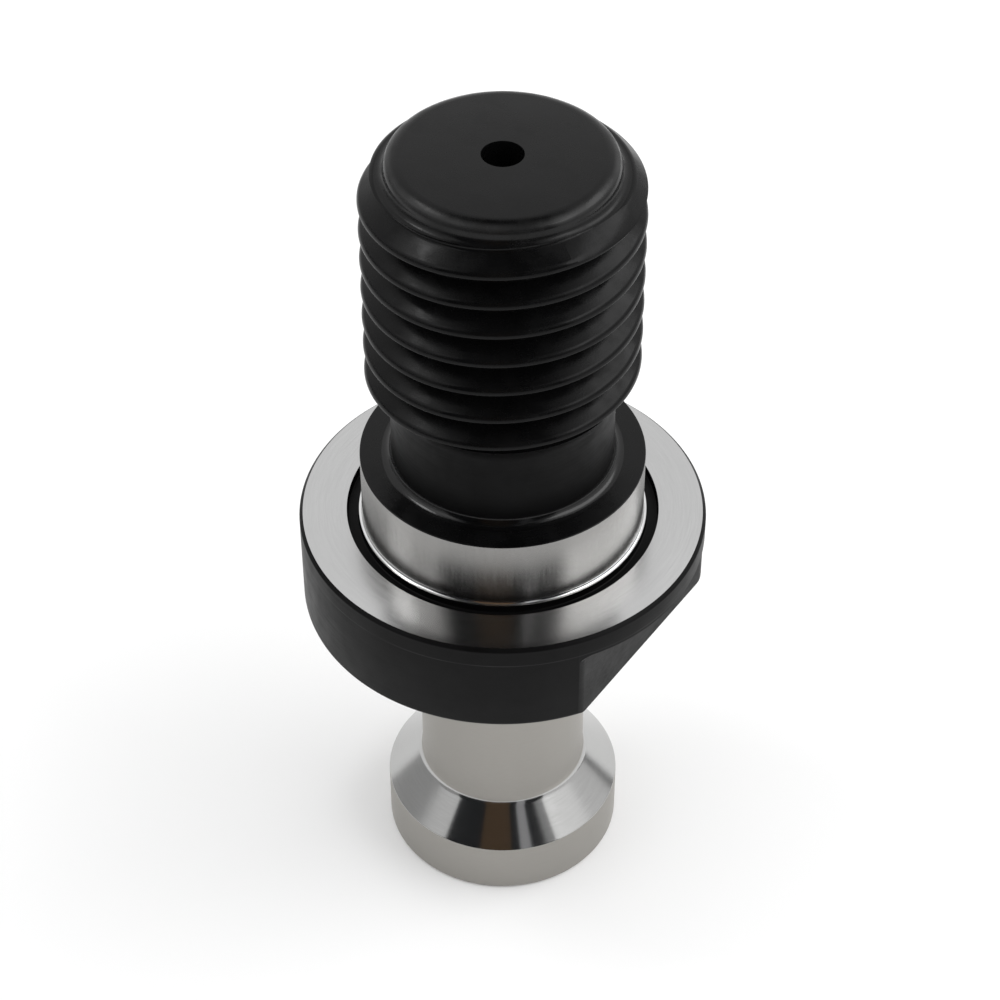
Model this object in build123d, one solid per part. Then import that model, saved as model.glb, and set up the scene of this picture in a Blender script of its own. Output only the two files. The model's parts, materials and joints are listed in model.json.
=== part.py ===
from build123d import *
import os
from math import ceil, radians, tan

# Pull stud: a one-piece turned, threaded and ground steel stud that draws a tool
# holder's taper into a spindle. Millimetres, +Z up. It stands on its head, and the
# origin is the centre of the head's end face.

# Head and neck, which the spindle's gripper takes hold of
PULL_LENGTH = 27.4
HEAD_DIAMETER = 15.0
HEAD_SIDE = 3.8
HEAD_CONE_ANGLE = 45.0
HEAD_EDGE_BREAK = 0.25
NECK_DIAMETER = 10.5
NECK_CONE_FILLET = 0.9
NECK_FLANGE_BREAK = 0.6

# Flange with its ground seat and two milled wrench flats
FLANGE_DIAMETER = 24.6
FLANGE_THICKNESS = 6.4
FLANGE_TOP_BREAK = 0.2
FLANGE_BOTTOM_BREAK = 0.25
ACROSS_FLATS = 20.4
FLAT_RIM = 1.5
FLAT_CORNER_RADIUS = 0.4
FLAT_ANGLE = -34.0

# Ring undercut in the seat, round the foot of the pilot
UNDERCUT_WIDTH = 0.7
UNDERCUT_DEPTH = 0.5

# Ground pilot that centres the stud in the holder
PILOT_DIAMETER = 17.0
PILOT_HEIGHT = 4.55
PILOT_FOOT_BREAK = 0.2
PILOT_EDGE_BREAK = 0.1

# Relief neck between the pilot and the thread
RELIEF_CLEARANCE = 0.18
RELIEF_LENGTH = 5.75
RELIEF_FILLET = 0.5

# Coarse metric thread, right hand
THREAD_DIAMETER = 16.0
THREAD_PITCH = 2.0
THREAD_LENGTH = 14.4
THREAD_FLANK_ANGLE = 30.0
THREAD_CREST_FLAT = 0.3
THREAD_ROOT_FLAT = 0.29
THREAD_END_RISE = 0.8
THREAD_LEAD_CHAMFER = 0.8
THREAD_TURN = -158.4

# Dog point on the thread's end, and the coolant hole down the axis
DOG_CLEARANCE = 0.28
DOG_LENGTH = 1.2
DOG_BEVEL = 0.45
COOLANT_BORE = 2.4

# Radii and levels that follow from them
head_radius = HEAD_DIAMETER / 2
neck_radius = NECK_DIAMETER / 2
flange_radius = FLANGE_DIAMETER / 2
pilot_radius = PILOT_DIAMETER / 2
foot_radius = pilot_radius + PILOT_FOOT_BREAK
undercut_radius = foot_radius + UNDERCUT_WIDTH
thread_radius = THREAD_DIAMETER / 2
flank_slope = tan(radians(THREAD_FLANK_ANGLE))
thread_depth = (THREAD_PITCH - THREAD_CREST_FLAT - THREAD_ROOT_FLAT) / 2 / flank_slope
root_radius = thread_radius - thread_depth
relief_radius = root_radius - RELIEF_CLEARANCE
dog_radius = root_radius - DOG_CLEARANCE
pilot_ledge = pilot_radius - PILOT_EDGE_BREAK - relief_radius
relief_fillet = min(RELIEF_FILLET, pilot_ledge / 2)

seat_level = PULL_LENGTH
cone_height = (head_radius - neck_radius) / tan(radians(HEAD_CONE_ANGLE))
cone_top_level = HEAD_SIDE + cone_height
flange_under_level = seat_level - FLANGE_THICKNESS
flat_top_level = seat_level - FLAT_RIM
pilot_top_level = seat_level + PILOT_HEIGHT
thread_end_level = pilot_top_level + RELIEF_LENGTH
dog_foot_level = thread_end_level + THREAD_LENGTH
tip_level = dog_foot_level + DOG_LENGTH


def turned_blank():
    """The whole section as the lathe leaves it: corners as radius, level and fillet."""
    corners = [
        (0, 0, 0),
        (head_radius - HEAD_EDGE_BREAK, 0, 0),
        (head_radius, HEAD_EDGE_BREAK, 0),
        (head_radius, HEAD_SIDE, 0),
        (neck_radius, cone_top_level, NECK_CONE_FILLET),
        (neck_radius, flange_under_level - NECK_FLANGE_BREAK, 0),
        (neck_radius + NECK_FLANGE_BREAK, flange_under_level, 0),
        (flange_radius - FLANGE_BOTTOM_BREAK, flange_under_level, 0),
        (flange_radius, flange_under_level + FLANGE_BOTTOM_BREAK, 0),
        (flange_radius, seat_level - FLANGE_TOP_BREAK, 0),
        (flange_radius - FLANGE_TOP_BREAK, seat_level, 0),
        (undercut_radius, seat_level, 0),
        (undercut_radius, seat_level - UNDERCUT_DEPTH, 0),
        (foot_radius, seat_level - UNDERCUT_DEPTH, 0),
        (foot_radius, seat_level, 0),
        (pilot_radius, seat_level + PILOT_FOOT_BREAK, 0),
        (pilot_radius, pilot_top_level - PILOT_EDGE_BREAK, 0),
        (pilot_radius - PILOT_EDGE_BREAK, pilot_top_level, 0),
        (relief_radius, pilot_top_level, relief_fillet),
        (relief_radius, thread_end_level, 0),
        (thread_radius, thread_end_level + THREAD_END_RISE, 0),
        (thread_radius, dog_foot_level - THREAD_LEAD_CHAMFER, 0),
        (thread_radius - THREAD_LEAD_CHAMFER, dog_foot_level, 0),
        (dog_radius, dog_foot_level, 0),
        (dog_radius, tip_level - DOG_BEVEL, 0),
        (dog_radius - DOG_BEVEL, tip_level, 0),
        (0, tip_level, 0),
    ]
    points = [(radius, 0, level) for radius, level, fillet_radius in corners]
    fillets = [fillet_radius for radius, level, fillet_radius in corners]
    outline = FilletPolyline(*points, radius=fillets, close=True)
    return revolve(Face(outline), Axis.Z)


def thread_groove():
    """The helical groove that the threading tool cuts, turn by turn and past both ends."""
    half_root = THREAD_ROOT_FLAT / 2
    overrun = THREAD_CREST_FLAT / flank_slope / 4
    half_mouth = half_root + (thread_depth + overrun) * flank_slope
    mouth_radius = thread_radius + overrun
    section = [
        (root_radius, -half_root),
        (mouth_radius, -half_mouth),
        (mouth_radius, half_mouth),
        (root_radius, half_root),
    ]
    turns = ceil(THREAD_LENGTH / THREAD_PITCH) + 2
    levels = [thread_end_level + (turn - 1) * THREAD_PITCH for turn in range(turns + 1)]
    faces = []
    for level in levels[:-1]:
        rails = [
            Helix(THREAD_PITCH, THREAD_PITCH, radius, center=(0, 0, level + rise))
            for radius, rise in section
        ]
        for rail, next_rail in zip(rails, rails[1:] + rails[:1]):
            faces.append(Face.make_surface_from_curves(rail, next_rail))
    for level in (levels[0], levels[-1]):
        corners = [(radius, 0, level + rise) for radius, rise in section]
        faces.append(Face(Polyline(*corners, close=True)))
    return Rot(0, 0, THREAD_TURN) * Solid(Shell(faces))


def wrench_flat(angle):
    """What the end mill takes off one side of the flange, below its round rim."""
    flat_distance = ACROSS_FLATS / 2
    height = flat_top_level - flange_under_level
    cutter = Box(
        flange_radius,
        2 * flange_radius,
        2 * height,
        align=(Align.MIN, Align.CENTER, Align.MAX),
    )
    cutter = Pos(flat_distance, 0, flat_top_level) * cutter
    inner_top = cutter.edges().filter_by(Axis.Y).sort_by(Axis.X)[:2].sort_by(Axis.Z)[-1]
    cutter = fillet(inner_top, FLAT_CORNER_RADIUS)
    return Rot(0, 0, angle) * cutter


def pull_stud():
    """The stud, worked in the order of the real one: turned, threaded, milled, drilled."""
    stud = turned_blank()
    stud -= thread_groove()
    stud -= wrench_flat(FLAT_ANGLE)
    stud -= wrench_flat(FLAT_ANGLE + 180)
    stud -= Cylinder(COOLANT_BORE / 2, tip_level, align=(Align.CENTER, Align.CENTER, Align.MIN))
    return stud


os.makedirs("parts", exist_ok=True)
part = pull_stud()
part.label = "pull_stud"
export_step(part, "parts/pull_stud.step")
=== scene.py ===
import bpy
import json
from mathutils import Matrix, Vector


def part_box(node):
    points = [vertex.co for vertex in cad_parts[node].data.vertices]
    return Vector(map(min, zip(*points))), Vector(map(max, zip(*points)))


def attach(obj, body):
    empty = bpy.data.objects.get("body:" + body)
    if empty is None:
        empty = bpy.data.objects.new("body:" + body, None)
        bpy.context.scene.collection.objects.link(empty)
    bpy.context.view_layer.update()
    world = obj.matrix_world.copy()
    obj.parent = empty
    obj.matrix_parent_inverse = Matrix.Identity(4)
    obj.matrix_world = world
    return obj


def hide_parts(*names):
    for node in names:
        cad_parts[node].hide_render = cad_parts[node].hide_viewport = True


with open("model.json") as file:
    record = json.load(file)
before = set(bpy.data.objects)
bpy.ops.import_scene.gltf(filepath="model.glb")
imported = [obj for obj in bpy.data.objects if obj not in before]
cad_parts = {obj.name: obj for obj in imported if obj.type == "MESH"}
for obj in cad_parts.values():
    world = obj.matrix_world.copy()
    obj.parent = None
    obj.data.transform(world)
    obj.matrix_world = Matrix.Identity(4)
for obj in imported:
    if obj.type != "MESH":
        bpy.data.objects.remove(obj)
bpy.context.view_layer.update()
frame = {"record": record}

import json
import math

import bpy

# Turned blank: the whole stud is one piece of alloy steel, turned from bar. Its section is
# drawn up one side, from the head that it stands on to the tip, its corners are rounded as
# the tool's nose leaves them, and it is spun round the axis.

mm_per_metre = 1000
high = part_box("pull_stud")[1]
mounts = {mount["name"]: mount for mount in frame["record"]["mounts"]}
flange_radius = high.x
tip_level = high.z
seat_level = mounts["seat"]["pos_m"][2]
pilot_radius = mounts["pilot"]["dims"]["r_mm"] / mm_per_metre
thread_radius = mounts["thread"]["dims"]["r_mm"] / mm_per_metre
head_radius = mounts["head_grip"]["dims"]["r_mm"] / mm_per_metre

head_side = 0.0038
neck_radius = 0.00525
flange_thickness = 0.0064
flange_top_break = 0.0002
undercut_depth = 0.0005
undercut_gap = 0.0002
undercut_reach = 0.0009
pilot_height = 0.00455
relief_radius = 0.0066
relief_length = 0.00575
thread_stock = 0.0001
thread_end_rise = 0.0008
lead_chamfer = 0.0008
dog_radius = 0.0065
dog_length = 0.0012
dog_bevel = 0.00045

cone_top = head_side + head_radius - neck_radius
flange_under = seat_level - flange_thickness
undercut_inner = pilot_radius + undercut_gap
undercut_outer = pilot_radius + undercut_reach
pilot_top = seat_level + pilot_height
thread_end = pilot_top + relief_length
dog_foot = tip_level - dog_length
stock_radius = thread_radius + thread_stock
run_out = thread_end_rise * (stock_radius - relief_radius) / (thread_radius - relief_radius)

# Radii that the corners of the section are rounded to, from the head up
head_edge_rounding = 0.0003
head_cone_rounding = 0.00012
cone_neck_rounding = 0.0009
neck_flange_rounding = 0.0008
flange_under_rounding = 0.0003
flange_rim_rounding = 0.0001
seat_edge_rounding = 0.00004
undercut_rounding = 0.0001
undercut_lip_rounding = 0.00002
pilot_foot_rounding = 0.00018
pilot_edge_rounding = 0.00006
relief_fillet = 0.0006
run_out_rounding = 0.0015
thread_start_rounding = 0.0002
lead_rounding = 0.0006
lead_foot_rounding = 0.0004
dog_foot_rounding = 0.0005
dog_bevel_rounding = 0.0005
tip_rounding = 0.001

# Each corner of the section: radius, level and rounding
corners = [
    (0.0, 0.0, 0.0),
    (head_radius, 0.0, head_edge_rounding),
    (head_radius, head_side, head_cone_rounding),
    (neck_radius, cone_top, cone_neck_rounding),
    (neck_radius, flange_under, neck_flange_rounding),
    (flange_radius, flange_under, flange_under_rounding),
    (flange_radius, seat_level - flange_top_break, flange_rim_rounding),
    (flange_radius - flange_top_break, seat_level, seat_edge_rounding),
    (undercut_outer, seat_level, seat_edge_rounding),
    (undercut_outer, seat_level - undercut_depth, undercut_rounding),
    (undercut_inner, seat_level - undercut_depth, undercut_rounding),
    (undercut_inner, seat_level, undercut_lip_rounding),
    (pilot_radius, seat_level, pilot_foot_rounding),
    (pilot_radius, pilot_top, pilot_edge_rounding),
    (relief_radius, pilot_top, relief_fillet),
    (relief_radius, thread_end, run_out_rounding),
    (stock_radius, thread_end + run_out, thread_start_rounding),
    (stock_radius, dog_foot - lead_chamfer - thread_stock, lead_rounding),
    (thread_radius - lead_chamfer, dog_foot, lead_foot_rounding),
    (dog_radius, dog_foot, dog_foot_rounding),
    (dog_radius, tip_level - dog_bevel, dog_bevel_rounding),
    (dog_radius - dog_bevel, tip_level, tip_rounding),
    (0.0, tip_level, 0.0),
]
turned_steps = 240
arc_step = 12
least_arc_segments = 3
same_place = 1e-6
seam_gap = 1e-7


def corner_turn(before, corner, after):
    """The angle that a section turns through at a corner."""
    inward = math.atan2(corner[1] - before[1], corner[0] - before[0])
    outward = math.atan2(after[1] - corner[1], after[0] - corner[0])
    return abs((outward - inward + math.pi) % (2 * math.pi) - math.pi)


def draw_outline(name, points):
    """A new mesh object, left in edit mode, of straight edges from point to point."""
    bpy.ops.object.select_all(action="DESELECT")
    bpy.ops.mesh.primitive_plane_add(size=0.001, location=(0, 0, 0))
    outline = bpy.context.object
    outline.name = name
    bpy.ops.object.mode_set(mode="EDIT")
    bpy.ops.mesh.select_mode(type="VERT")
    bpy.ops.mesh.select_all(action="SELECT")
    bpy.ops.mesh.merge(type="CENTER")
    bpy.ops.transform.translate(value=points[0])
    for here, there in zip(points, points[1:]):
        step = tuple(end - start for start, end in zip(here, there))
        bpy.ops.mesh.extrude_region_move(TRANSFORM_OT_translate={"value": step})
    return outline


def select_points(piece, keep):
    """From edit mode, select the points of a mesh for which keep(co) is true."""
    bpy.ops.mesh.select_all(action="DESELECT")
    bpy.ops.object.mode_set(mode="OBJECT")
    for point in piece.data.vertices:
        point.select = keep(point.co)
    bpy.ops.object.mode_set(mode="EDIT")


stud = draw_outline("pull_stud_visual", [(radius, 0, level) for radius, level, rounding in corners])
for before, corner, after in zip(corners, corners[1:], corners[2:]):
    radius, level, rounding = corner
    turn = corner_turn(before, corner, after)
    select_points(stud, lambda co: math.dist((co.x, co.z), (radius, level)) < same_place)
    arc_segments = max(least_arc_segments, math.ceil(turn / math.radians(arc_step)))
    bpy.ops.mesh.bevel(
        offset=rounding * math.tan(turn / 2), segments=arc_segments, affect="VERTICES"
    )
bpy.ops.mesh.select_all(action="SELECT")
bpy.ops.mesh.spin(steps=turned_steps, angle=2 * math.pi, center=(0, 0, 0), axis=(0, 0, 1))
bpy.ops.mesh.select_all(action="SELECT")
bpy.ops.mesh.remove_doubles(threshold=seam_gap)
bpy.ops.mesh.normals_make_consistent(inside=False)
bpy.ops.object.mode_set(mode="OBJECT")

# Thread: M16 by 2, right hand, cut in the oversize shank. Its form is drawn over one pitch, with
# the crest and the root rounded, and wound up the axis into a rod. A die that has the rod's form
# inside it then takes the rest of the shank off.

pitch = 0.002
thread_turn = math.radians(-158.4)
flank_angle = 30
flank_slope = math.tan(math.radians(flank_angle))
crest_flat = 0.0003
root_flat = 0.00029
thread_depth = (pitch - crest_flat - root_flat) / 2 / flank_slope
upper_rounding = 0.0004
lower_rounding = 0.00006
lower_arc_step = 15
root_rounding = root_flat / 2 / flank_slope
root_centre = thread_radius - thread_depth + root_rounding
winding_steps = 150
spare_turns = 2
die_radius = 0.0095
die_sides = 120
die_margin = 0.001
rod_margin = 0.0005
die_low = thread_end - die_margin
die_high = tip_level + die_margin
rod_low = die_low - rod_margin
rod_high = die_high + rod_margin
cut_seam_gap = 2e-7


def arc_points(centre, rounding, side, angles):
    """The points of a rounded corner of the form, where side is 1 on a crest and -1 in a root."""
    points = []
    for angle in angles:
        bend = math.radians(angle)
        reach = centre[0] + side * rounding * math.cos(bend)
        points.append((reach, 0, centre[1] + rounding * math.sin(bend)))
    return points


# The form's points run from one crest's lower edge over the crest and the root to the next
# crest's lower edge. The crest's upper corner is worn round, and its lower one is nearly sharp.
form_bend = 90 - flank_angle
crest_edge = (pitch - crest_flat) / 2
upper_centre = (thread_radius - upper_rounding, -crest_edge - upper_rounding * flank_slope)
lower_centre = (thread_radius - lower_rounding, crest_edge + lower_rounding * flank_slope)
upper_angles = range(0, form_bend + 1, arc_step)
root_angles = range(-form_bend, form_bend + 1, arc_step)
lower_angles = range(-form_bend, 1, lower_arc_step)
thread_form = [(thread_radius, 0, lower_centre[1] - pitch)]
thread_form += arc_points(upper_centre, upper_rounding, 1, upper_angles)
thread_form += arc_points((root_centre, 0), root_rounding, -1, root_angles)
thread_form += arc_points(lower_centre, lower_rounding, 1, lower_angles)

# With no window, rotate turns the other way, so its angle has the other sign
rod = draw_outline("thread_rod", thread_form)
bpy.ops.mesh.select_all(action="SELECT")
bpy.ops.transform.translate(value=(0, 0, thread_end - spare_turns * pitch))
bpy.ops.transform.rotate(value=-thread_turn, orient_axis="Z", center_override=(0, 0, 0))
bpy.ops.object.mode_set(mode="OBJECT")
winding = rod.modifiers.new("winding", "SCREW")
winding.axis = "Z"
winding.screw_offset = pitch
winding.iterations = math.ceil((rod_high - rod_low) / pitch) + spare_turns
winding.steps = winding_steps
winding.render_steps = winding_steps
winding.use_merge_vertices = False
bpy.ops.object.modifier_apply(modifier=winding.name)
bpy.ops.object.mode_set(mode="EDIT")
bpy.ops.mesh.select_all(action="SELECT")
bpy.ops.mesh.remove_doubles(threshold=cut_seam_gap)
for level, cleared_side in ((rod_low, "clear_inner"), (rod_high, "clear_outer")):
    bpy.ops.mesh.select_all(action="SELECT")
    bpy.ops.mesh.bisect(
        plane_co=(0, 0, level),
        plane_no=(0, 0, 1),
        use_fill=True,
        threshold=seam_gap,
        **{cleared_side: True},
    )
bpy.ops.mesh.select_all(action="SELECT")
bpy.ops.mesh.normals_make_consistent(inside=False)
bpy.ops.object.mode_set(mode="OBJECT")


def round_bar(radius, low, high, sides):
    """A round bar on the axis, from a low to a high level."""
    bpy.ops.object.select_all(action="DESELECT")
    bpy.ops.mesh.primitive_cylinder_add(
        vertices=sides,
        radius=radius,
        depth=high - low,
        location=(0, 0, (low + high) / 2),
    )
    bpy.ops.object.transform_apply(location=True, rotation=True, scale=True)
    return bpy.context.object


def cut_away(piece, cutter):
    """Take a cutter's solid off a piece, and remove the cutter."""
    bpy.ops.object.select_all(action="DESELECT")
    bpy.context.view_layer.objects.active = piece
    piece.select_set(True)
    cut = piece.modifiers.new("cut", "BOOLEAN")
    cut.operation = "DIFFERENCE"
    cut.solver = "MANIFOLD"
    cut.object = cutter
    bpy.ops.object.modifier_apply(modifier=cut.name)
    bpy.data.objects.remove(cutter)


die = round_bar(die_radius, die_low, die_high, die_sides)
cut_away(die, rod)
cut_away(stud, die)

# Wrench flats: two flats milled on opposite sides of the flange below its round rim, for the
# spanner that tightens the stud. The end mill leaves a small radius under the rim.

flat_angle = math.radians(-34)
flat_distance = 0.0102
flat_rim = 0.0015
flat_top = seat_level - flat_rim
flat_corner_radius = 0.0004
flat_edge_radius = 0.0012
edge_crease = math.radians(4)
mill_reach = 0.004
mill_height = 0.012
mill_segments = 6

# In plan, the cutter's edge bends away from the flat at each end, a little less than the
# flange does, so that its rounded corner eases the flat's edge
half_flat = math.sqrt(flange_radius**2 - flat_distance**2)
end_bend = math.acos(flat_distance / flange_radius) - edge_crease
corner_length = flat_edge_radius * math.tan(end_bend / 2)
end_x = flat_distance - mill_reach * math.sin(end_bend)
end_y = half_flat + mill_reach * math.cos(end_bend)
outer_x = flat_distance + mill_reach
mill_plan = [
    (end_x, -end_y, flat_top),
    (flat_distance, -half_flat, flat_top),
    (flat_distance, half_flat, flat_top),
    (end_x, end_y, flat_top),
    (outer_x, end_y, flat_top),
    (outer_x, -end_y, flat_top),
]


def at_flat_end(co):
    """Whether a point of the cutter's plan is at an end of the flat."""
    return abs(co.x - flat_distance) < same_place and abs(abs(co.y) - half_flat) < same_place


def at_flat_top(co):
    """Whether a point of the cutter is on its upper inner edge."""
    return co.z > flat_top - same_place and co.x < flat_distance + same_place


for side in (flat_angle, flat_angle + math.pi):
    mill = draw_outline("flat_mill", mill_plan)
    select_points(mill, at_flat_end)
    bpy.ops.mesh.bevel(offset=corner_length, segments=mill_segments, affect="VERTICES")
    bpy.ops.mesh.select_all(action="SELECT")
    bpy.ops.mesh.edge_face_add()
    bpy.ops.mesh.extrude_region_move(TRANSFORM_OT_translate={"value": (0, 0, -mill_height)})
    bpy.ops.mesh.select_all(action="SELECT")
    bpy.ops.mesh.normals_make_consistent(inside=False)
    select_points(mill, at_flat_top)
    bpy.ops.mesh.bevel(offset=flat_corner_radius, segments=mill_segments, affect="EDGES")
    bpy.ops.mesh.select_all(action="SELECT")
    bpy.ops.transform.rotate(value=-side, orient_axis="Z", center_override=(0, 0, 0))
    bpy.ops.object.mode_set(mode="OBJECT")
    cut_away(stud, mill)

# Coolant hole: drilled down the axis from the tip to the head, after the stud is turned and
# milled. Its wall is left black.

hole_radius = 0.0012
hole_sides = 96
hole_overrun = 0.002
smooth_angle = math.radians(18)

drill = round_bar(hole_radius, -hole_overrun, tip_level + hole_overrun, hole_sides)
cut_away(stud, drill)

bpy.ops.object.mode_set(mode="EDIT")
bpy.ops.mesh.select_all(action="SELECT")
bpy.ops.mesh.remove_doubles(threshold=cut_seam_gap)
bpy.ops.mesh.dissolve_degenerate(threshold=seam_gap)
bpy.ops.object.mode_set(mode="OBJECT")
bpy.ops.object.shade_smooth_by_angle(angle=smooth_angle)

# Finishes: the whole stud is blackened in a hot bath, which leaves a dark satin skin. Then the
# seat, the pilot's wall, the neck, the cone and the head are ground back to bright steel.

oxide_dark = (0.0018, 0.0018, 0.0019)
oxide_light = (0.0034, 0.0034, 0.0036)
oxide_colour_band = 0.2
oxide_rough_spread = 0.12
wear_and_highlight_steel = (0.5, 0.5, 0.5, 1)
steel_colour_band = 0.25
steel_colour_spread = 0.05
steel_rough_spread = 0.15
noise_band = 0.2


def add_node(tree, kind, **values):
    """A node of a tree, with the given sockets and settings set."""
    node = tree.nodes.new("ShaderNode" + kind)
    for name, value in values.items():
        if name in node.inputs:
            node.inputs[name].default_value = value
        else:
            setattr(node, name, value)
    return node


# Tool marks round the axis: a noise that is drawn out along the cut, with each point's radius
# and level. Across and Along say how fine it is in the two directions.
tool_marks = bpy.data.node_groups.new("tool_marks", "ShaderNodeTree")
for socket, direction, kind in (
    ("Place", "INPUT", "Vector"),
    ("Across", "INPUT", "Float"),
    ("Along", "INPUT", "Float"),
    ("Marks", "OUTPUT", "Float"),
    ("Radius", "OUTPUT", "Float"),
    ("Level", "OUTPUT", "Float"),
):
    tool_marks.interface.new_socket(socket, in_out=direction, socket_type="NodeSocket" + kind)
given = tool_marks.nodes.new("NodeGroupInput").outputs
result = tool_marks.nodes.new("NodeGroupOutput").inputs
split = add_node(tool_marks, "SeparateXYZ")
flat_place = add_node(tool_marks, "CombineXYZ")
axis_distance = add_node(tool_marks, "VectorMath", operation="LENGTH")
outward = add_node(tool_marks, "VectorMath", operation="NORMALIZE")
round_place = add_node(tool_marks, "VectorMath", operation="SCALE")
round_split = add_node(tool_marks, "SeparateXYZ")
level_across = add_node(tool_marks, "Math", operation="MULTIPLY")
radius_across = add_node(tool_marks, "Math", operation="MULTIPLY")
mark_place = add_node(tool_marks, "CombineXYZ")
mark_noise = add_node(
    tool_marks, "TexNoise", noise_dimensions="4D", Scale=1, Detail=3, Roughness=0.65
)
for source, target in (
    (given["Place"], split.inputs[0]),
    (split.outputs["X"], flat_place.inputs["X"]),
    (split.outputs["Y"], flat_place.inputs["Y"]),
    (flat_place.outputs[0], axis_distance.inputs[0]),
    (flat_place.outputs[0], outward.inputs[0]),
    (outward.outputs[0], round_place.inputs[0]),
    (given["Along"], round_place.inputs["Scale"]),
    (round_place.outputs[0], round_split.inputs[0]),
    (split.outputs["Z"], level_across.inputs[0]),
    (given["Across"], level_across.inputs[1]),
    (axis_distance.outputs["Value"], radius_across.inputs[0]),
    (given["Across"], radius_across.inputs[1]),
    (round_split.outputs["X"], mark_place.inputs["X"]),
    (round_split.outputs["Y"], mark_place.inputs["Y"]),
    (level_across.outputs[0], mark_place.inputs["Z"]),
    (mark_place.outputs[0], mark_noise.inputs["Vector"]),
    (radius_across.outputs[0], mark_noise.inputs["W"]),
    (mark_noise.outputs[0], result["Marks"]),
    (axis_distance.outputs["Value"], result["Radius"]),
    (split.outputs["Z"], result["Level"]),
):
    tool_marks.links.new(source, target)


def start_material(name, across, along):
    """A new material: itself, its tree, its shader, a point's place in millimetres, its tool marks."""
    material = bpy.data.materials.new(name)
    material.use_nodes = True
    tree = material.node_tree
    coordinates = add_node(tree, "TexCoord")
    place = add_node(tree, "VectorMath", operation="SCALE", Scale=mm_per_metre)
    tree.links.new(coordinates.outputs["Object"], place.inputs[0])
    marks = add_node(tree, "Group", node_tree=tool_marks, Across=across, Along=along)
    tree.links.new(place.outputs[0], marks.inputs["Place"])
    return material, tree, tree.nodes["Principled BSDF"], place.outputs[0], marks.outputs


def noise(tree, place, scale, detail):
    """A noise over the surface, with its scale in cells to the millimetre."""
    texture = add_node(tree, "TexNoise", Scale=scale, Detail=detail)
    tree.links.new(place, texture.inputs["Vector"])
    return texture.outputs[0]


def spread(tree, value, lowest, highest):
    """Spread a value about a half over a range."""
    ramp = add_node(tree, "MapRange")
    ramp.inputs["From Min"].default_value = 0.5 - noise_band
    ramp.inputs["From Max"].default_value = 0.5 + noise_band
    ramp.inputs["To Min"].default_value = lowest
    ramp.inputs["To Max"].default_value = highest
    tree.links.new(value, ramp.inputs["Value"])
    return ramp.outputs[0]


def colour_between(tree, value, band, dark, light):
    """A colour that goes from dark to light as a value runs through a band about a half."""
    ramp = add_node(tree, "ValToRGB")
    stops = ramp.color_ramp.elements
    stops[0].position = 0.5 - band
    stops[0].color = (*dark, 1)
    stops[1].position = 0.5 + band
    stops[1].color = (*light, 1)
    tree.links.new(value, ramp.inputs[0])
    return ramp.outputs[0]


def product(tree, first, second):
    """Two values multiplied."""
    times = add_node(tree, "Math", operation="MULTIPLY")
    tree.links.new(first, times.inputs[0])
    tree.links.new(second, times.inputs[1])
    return times.outputs[0]


def wear_and_highlight_line(tree, marks, place, measure, at, half_width, strength):
    """A mask for a lighter line round the axis, of wear and painted highlight, at a radius or level,
    broken into stretches.
    """
    offset = add_node(tree, "Math", operation="SUBTRACT")
    offset.inputs[1].default_value = at * mm_per_metre
    tree.links.new(marks[measure], offset.inputs[0])
    apart = add_node(tree, "Math", operation="ABSOLUTE")
    tree.links.new(offset.outputs[0], apart.inputs[0])
    line = add_node(tree, "MapRange", interpolation_type="SMOOTHSTEP")
    line.inputs["From Min"].default_value = half_width * mm_per_metre
    line.inputs["From Max"].default_value = 0
    line.inputs["To Max"].default_value = strength
    tree.links.new(apart.outputs[0], line.inputs["Value"])
    stretches = spread(tree, noise(tree, place, scale=0.3, detail=3), 0.1, 1)
    return product(tree, line.outputs[0], stretches)


def black_oxide(name, sheen_level, roughness, patchiness, wear_and_highlight=None):
    """Hot-bath black oxide: near black and satin, in patches, and perhaps lightened along a line as
    wear and painted highlight.
    """
    material, tree, shader, place, marks = start_material(name, across=9, along=3)
    shader.inputs["Specular IOR Level"].default_value = sheen_level
    cloud = noise(tree, place, scale=0.5, detail=4)
    colour = colour_between(tree, cloud, oxide_colour_band, oxide_dark, oxide_light)
    tree.links.new(colour, shader.inputs["Base Color"])
    finest = roughness * (1 - oxide_rough_spread)
    coarsest = roughness * (1 + oxide_rough_spread)
    fine_rough = spread(tree, marks["Marks"], finest, coarsest)
    patches = noise(tree, place, scale=0.8, detail=4)
    patch_rough = spread(tree, patches, 1 - patchiness, 1 + patchiness)
    tree.links.new(product(tree, fine_rough, patch_rough), shader.inputs["Roughness"])
    if wear_and_highlight:
        # A colour mix has its factor at input 0, its colours at 6 and 7 and its result at output 2
        # Painted highlight and wear: the line mixes the oxide towards light bare steel and makes it
        # metallic
        mask = wear_and_highlight_line(tree, marks, place, **wear_and_highlight)
        wear_and_highlight_mix = add_node(tree, "Mix", data_type="RGBA")
        wear_and_highlight_mix.inputs[7].default_value = wear_and_highlight_steel
        tree.links.new(mask, wear_and_highlight_mix.inputs[0])
        tree.links.new(colour, wear_and_highlight_mix.inputs[6])
        tree.links.new(wear_and_highlight_mix.outputs[2], shader.inputs["Base Color"])
        tree.links.new(mask, shader.inputs["Metallic"])
    bump = add_node(tree, "Bump", Strength=0.12, Distance=0.00002)
    tree.links.new(noise(tree, place, scale=9, detail=2), bump.inputs["Height"])
    tree.links.new(bump.outputs[0], shader.inputs["Normal"])
    return material


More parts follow.
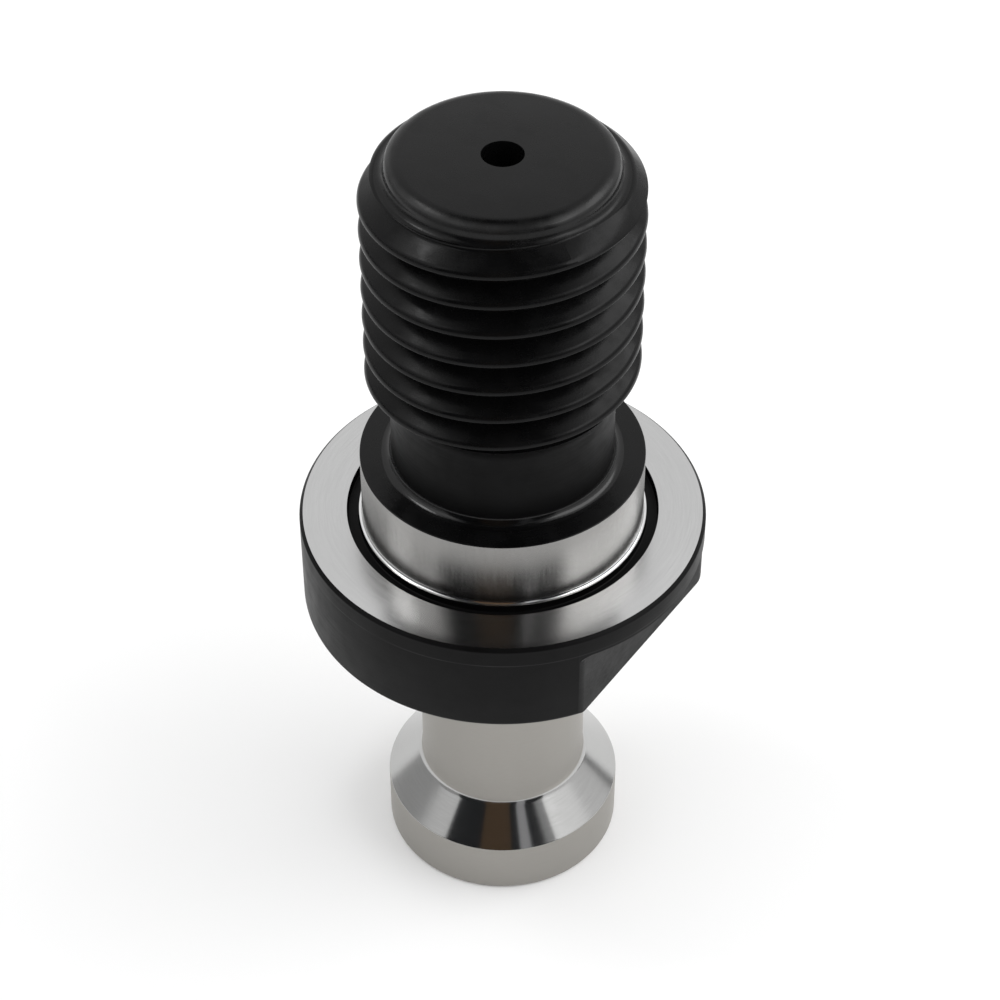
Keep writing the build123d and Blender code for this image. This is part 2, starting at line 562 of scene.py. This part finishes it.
def ground_steel(name, tint, roughness, anisotropy, across, along):
    """Bright steel ground round the axis, with fine marks that stretch its reflections across them."""
    material, tree, shader, place, marks = start_material(name, across, along)
    shader.inputs["Metallic"].default_value = 1
    shader.inputs["Anisotropic"].default_value = anisotropy
    shader.inputs["Anisotropic Rotation"].default_value = 0.25
    dark = [(1 - steel_colour_spread) * channel for channel in tint]
    light = [(1 + steel_colour_spread) * channel for channel in tint]
    colour = colour_between(tree, marks["Marks"], steel_colour_band, dark, light)
    tree.links.new(colour, shader.inputs["Base Color"])
    finest = roughness * (1 - steel_rough_spread)
    coarsest = roughness * (1 + steel_rough_spread)
    tree.links.new(spread(tree, marks["Marks"], finest, coarsest), shader.inputs["Roughness"])
    turned = add_node(tree, "Tangent", direction_type="RADIAL", axis="Z")
    tree.links.new(turned.outputs[0], shader.inputs["Tangent"])
    return material


# The oxide is lighter in a band along the dog's edge, partly worn to bare steel and partly a painted
# highlight
dog_edge_wear_and_highlight = {
    "measure": "Radius",
    "at": dog_radius - 0.00022,
    "half_width": 0.0003,
    "strength": 0.06,
}
# A thin painted highlight line runs round the flange's side, below its rim, where a small step catches
# the light
flange_rim_painted_highlight = {
    "measure": "Level",
    "at": seat_level - 0.0013,
    "half_width": 0.00005,
    "strength": 0.05,
}
finishes = [
    black_oxide(
        "black_oxide", sheen_level=0.2, roughness=0.27, patchiness=0.45, wear_and_highlight=dog_edge_wear_and_highlight
    ),
    black_oxide(
        "black_oxide_flange", sheen_level=0.09, roughness=0.4, patchiness=0.1, wear_and_highlight=flange_rim_painted_highlight
    ),
    black_oxide("black_oxide_thread", sheen_level=0.13, roughness=0.25, patchiness=0.45),
    black_oxide("black_oxide_relief", sheen_level=0.1, roughness=0.5, patchiness=0.1),
    black_oxide("black_oxide_fillet", sheen_level=0.35, roughness=0.15, patchiness=0.1),
    ground_steel(
        "ground_seat",
        tint=(0.61, 0.61, 0.61),
        roughness=0.2,
        anisotropy=0.85,
        across=14,
        along=6,
    ),
    # Painted shade: the pilot's tint is set well below that of ground steel, so that its wall reflects
    # its bright surroundings dimly
    ground_steel(
        "ground_pilot",
        tint=(0.28, 0.276, 0.268),
        roughness=0.21,
        anisotropy=0.97,
        across=0.4,
        along=50,
    ),
    # Painted highlight: the pilot's foot fillet has a tint brighter than steel, to make a bright line
    # round the pilot's foot
    ground_steel(
        "foot_painted_highlight",
        tint=(0.85, 0.85, 0.85),
        roughness=0.15,
        anisotropy=0.5,
        across=5,
        along=5,
    ),
    # Painted shade: the neck's tint is set below that of satin steel, so that it reflects the white
    # floor dimly
    ground_steel(
        "satin_neck",
        tint=(0.362, 0.349, 0.326),
        roughness=0.42,
        anisotropy=0.5,
        across=8,
        along=8,
    ),
    ground_steel(
        "polished_cone",
        tint=(0.45, 0.45, 0.445),
        roughness=0.13,
        anisotropy=0.6,
        across=10,
        along=4,
    ),
]
stud.data.materials.clear()
for finish in finishes:
    stud.data.materials.append(finish)
black, flange, thread, relief, fillet, seat, pilot, foot, satin, cone = range(len(finishes))

# Where one finish ends and the next begins
wall_margin = 1e-5
hole_reach = hole_radius + wall_margin
cone_start = cone_top + 0.00004
satin_end = flange_under - 0.0007
pilot_foot = seat_level + 0.0002
pilot_reach = pilot_radius - wall_margin
pilot_end = pilot_top - pilot_edge_rounding
relief_foot = pilot_top + 0.9 * relief_fillet
relief_reach = relief_radius + relief_fillet
for face in stud.data.polygons:
    reach = math.hypot(face.center.x, face.center.y)
    level = face.center.z
    face.material_index = black
    if reach < hole_reach:
        continue
    if level < satin_end:
        face.material_index = cone if head_side < level < cone_start else satin
    elif level < seat_level - same_place:
        face.material_index = flange
    elif level < pilot_end and reach > undercut_inner:
        face.material_index = seat
    elif level < pilot_end and reach > pilot_reach:
        face.material_index = pilot if level > pilot_foot else foot
    elif pilot_top + same_place < level < thread_end and reach < relief_reach:
        face.material_index = relief if level > relief_foot else fillet
    elif pilot_top + same_place < level < dog_foot:
        face.material_index = thread

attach(stud, "root")
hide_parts("pull_stud")

# Studio: a white floor under a white surround, with two soft lamps on each side. Paper cards
# bent round the stud, most of them dark, give the bright steel its reflections.

floor_size = 6
surround_strength = 0.85
card_radius = 0.7
card_segments = 180
card_rings = 90
lamp_distance = 0.5


def matt_paper(name, colour):
    """Paper with no sheen."""
    paper = bpy.data.materials.new(name)
    paper.use_nodes = True
    shader = paper.node_tree.nodes["Principled BSDF"]
    shader.inputs["Base Color"].default_value = (*colour, 1)
    shader.inputs["Roughness"].default_value = 1
    shader.inputs["Specular IOR Level"].default_value = 0
    return paper


bpy.ops.object.select_all(action="DESELECT")
bpy.ops.mesh.primitive_plane_add(size=floor_size, location=(0, 0, 0))
floor = bpy.context.object
floor.name = "studio_floor"
floor.data.materials.append(matt_paper("floor_paper", (0.95, 0.95, 0.95)))

surround = bpy.context.scene.world or bpy.data.worlds.new("surround")
bpy.context.scene.world = surround
surround.use_nodes = True
surround.node_tree.nodes["Background"].inputs["Color"].default_value = (1, 1, 1, 1)
surround.node_tree.nodes["Background"].inputs["Strength"].default_value = surround_strength


def bent_card(name, colour, elevations, azimuths):
    """A card bent round the stud, over a range of elevations and some of azimuths, in degrees.

    It is seen in reflections only. Azimuth 0 is the camera's side, and grows to the right.
    """
    bpy.ops.object.select_all(action="DESELECT")
    bpy.ops.mesh.primitive_uv_sphere_add(
        segments=card_segments, ring_count=card_rings, radius=card_radius
    )
    card = bpy.context.object
    card.name = name
    bpy.ops.object.mode_set(mode="EDIT")
    bpy.ops.mesh.select_mode(type="FACE")
    bpy.ops.mesh.select_all(action="DESELECT")
    bpy.ops.object.mode_set(mode="OBJECT")
    for face in card.data.polygons:
        azimuth = math.degrees(math.atan2(face.center.x, -face.center.y))
        elevation = math.degrees(math.asin(face.center.z / face.center.length))
        at_height = elevations[0] < elevation < elevations[1]
        face.select = not (at_height and any(left < azimuth < right for left, right in azimuths))
    bpy.ops.object.mode_set(mode="EDIT")
    bpy.ops.mesh.delete(type="FACE")
    bpy.ops.object.mode_set(mode="OBJECT")
    card.data.materials.append(matt_paper(name, colour))
    card.visible_camera = False
    card.visible_diffuse = False
    card.visible_shadow = False


front_left = -51
front_right = 49
warm_left = -20
warm_right = 8
strip_left = 16
strip_right = 26
front_top = 66
front = (0, front_top)
dark_spans = [(front_left, warm_left), (warm_right, strip_left), (strip_right, front_right)]
bent_card("overhead_card", (0.05, 0.05, 0.05), (front_top, 90), [(-180, 180)])
bent_card("dark_card", (0.025, 0.026, 0.028), front, dark_spans)
bent_card("warm_card", (0.09, 0.06, 0.038), front, [(warm_left, warm_right)])
bent_card("light_strip", (0.4, 0.4, 0.41), front, [(strip_left, strip_right)])
bent_card("low_card_left", (0.45, 0.45, 0.45), (0, 20), [(-128, front_left)])
bent_card("dark_skirting", (0.15, 0.15, 0.15), (0, 4), [(100, 150)])


def soft_lamp(name, azimuth, elevation, width, height, radiance):
    """A soft box that faces the stud."""
    lamp_data = bpy.data.lights.new(name, "AREA")
    lamp_data.shape = "RECTANGLE"
    lamp_data.size = width
    lamp_data.size_y = height
    lamp_data.energy = radiance * math.pi * width * height
    lamp = bpy.data.objects.new(name, lamp_data)
    bpy.context.scene.collection.objects.link(lamp)
    turn = math.radians(azimuth)
    tilt = math.radians(elevation)
    lamp.location = (
        lamp_distance * math.cos(tilt) * math.sin(turn),
        -lamp_distance * math.cos(tilt) * math.cos(turn),
        lamp_distance * math.sin(tilt) + seat_level,
    )
    lamp.rotation_euler = (math.pi / 2 - tilt, 0, turn)
    lamp.visible_camera = False


soft_lamp("left_soft_box", azimuth=-76, elevation=46, width=0.36, height=0.19, radiance=0.8)
soft_lamp("left_key", azimuth=-106, elevation=56, width=0.15, height=0.08, radiance=6.5)
soft_lamp("right_soft_box", azimuth=85, elevation=40, width=0.84, height=0.466, radiance=0.35)
soft_lamp("right_key", azimuth=90, elevation=44, width=0.6, height=0.19, radiance=2.5)

# Camera: it looks down on the stud from the front, as the photograph does, and is aimed just
# above the seat.

view_elevation = math.radians(43.09)
view_distance = 0.1628
aim_level = seat_level + 0.00033
camera_data = bpy.data.cameras.new("camera")
camera = bpy.data.objects.new("camera", camera_data)
bpy.context.scene.collection.objects.link(camera)
camera.location = (
    0,
    -view_distance * math.cos(view_elevation),
    aim_level + view_distance * math.sin(view_elevation),
)
camera.rotation_euler = (math.pi / 2 - view_elevation, 0, 0)
camera_data.lens = 96.99
camera_data.shift_x = -0.0027
camera_data.clip_start = 0.005
bpy.context.scene.camera = camera
bpy.context.scene.view_settings.view_transform = "Standard"
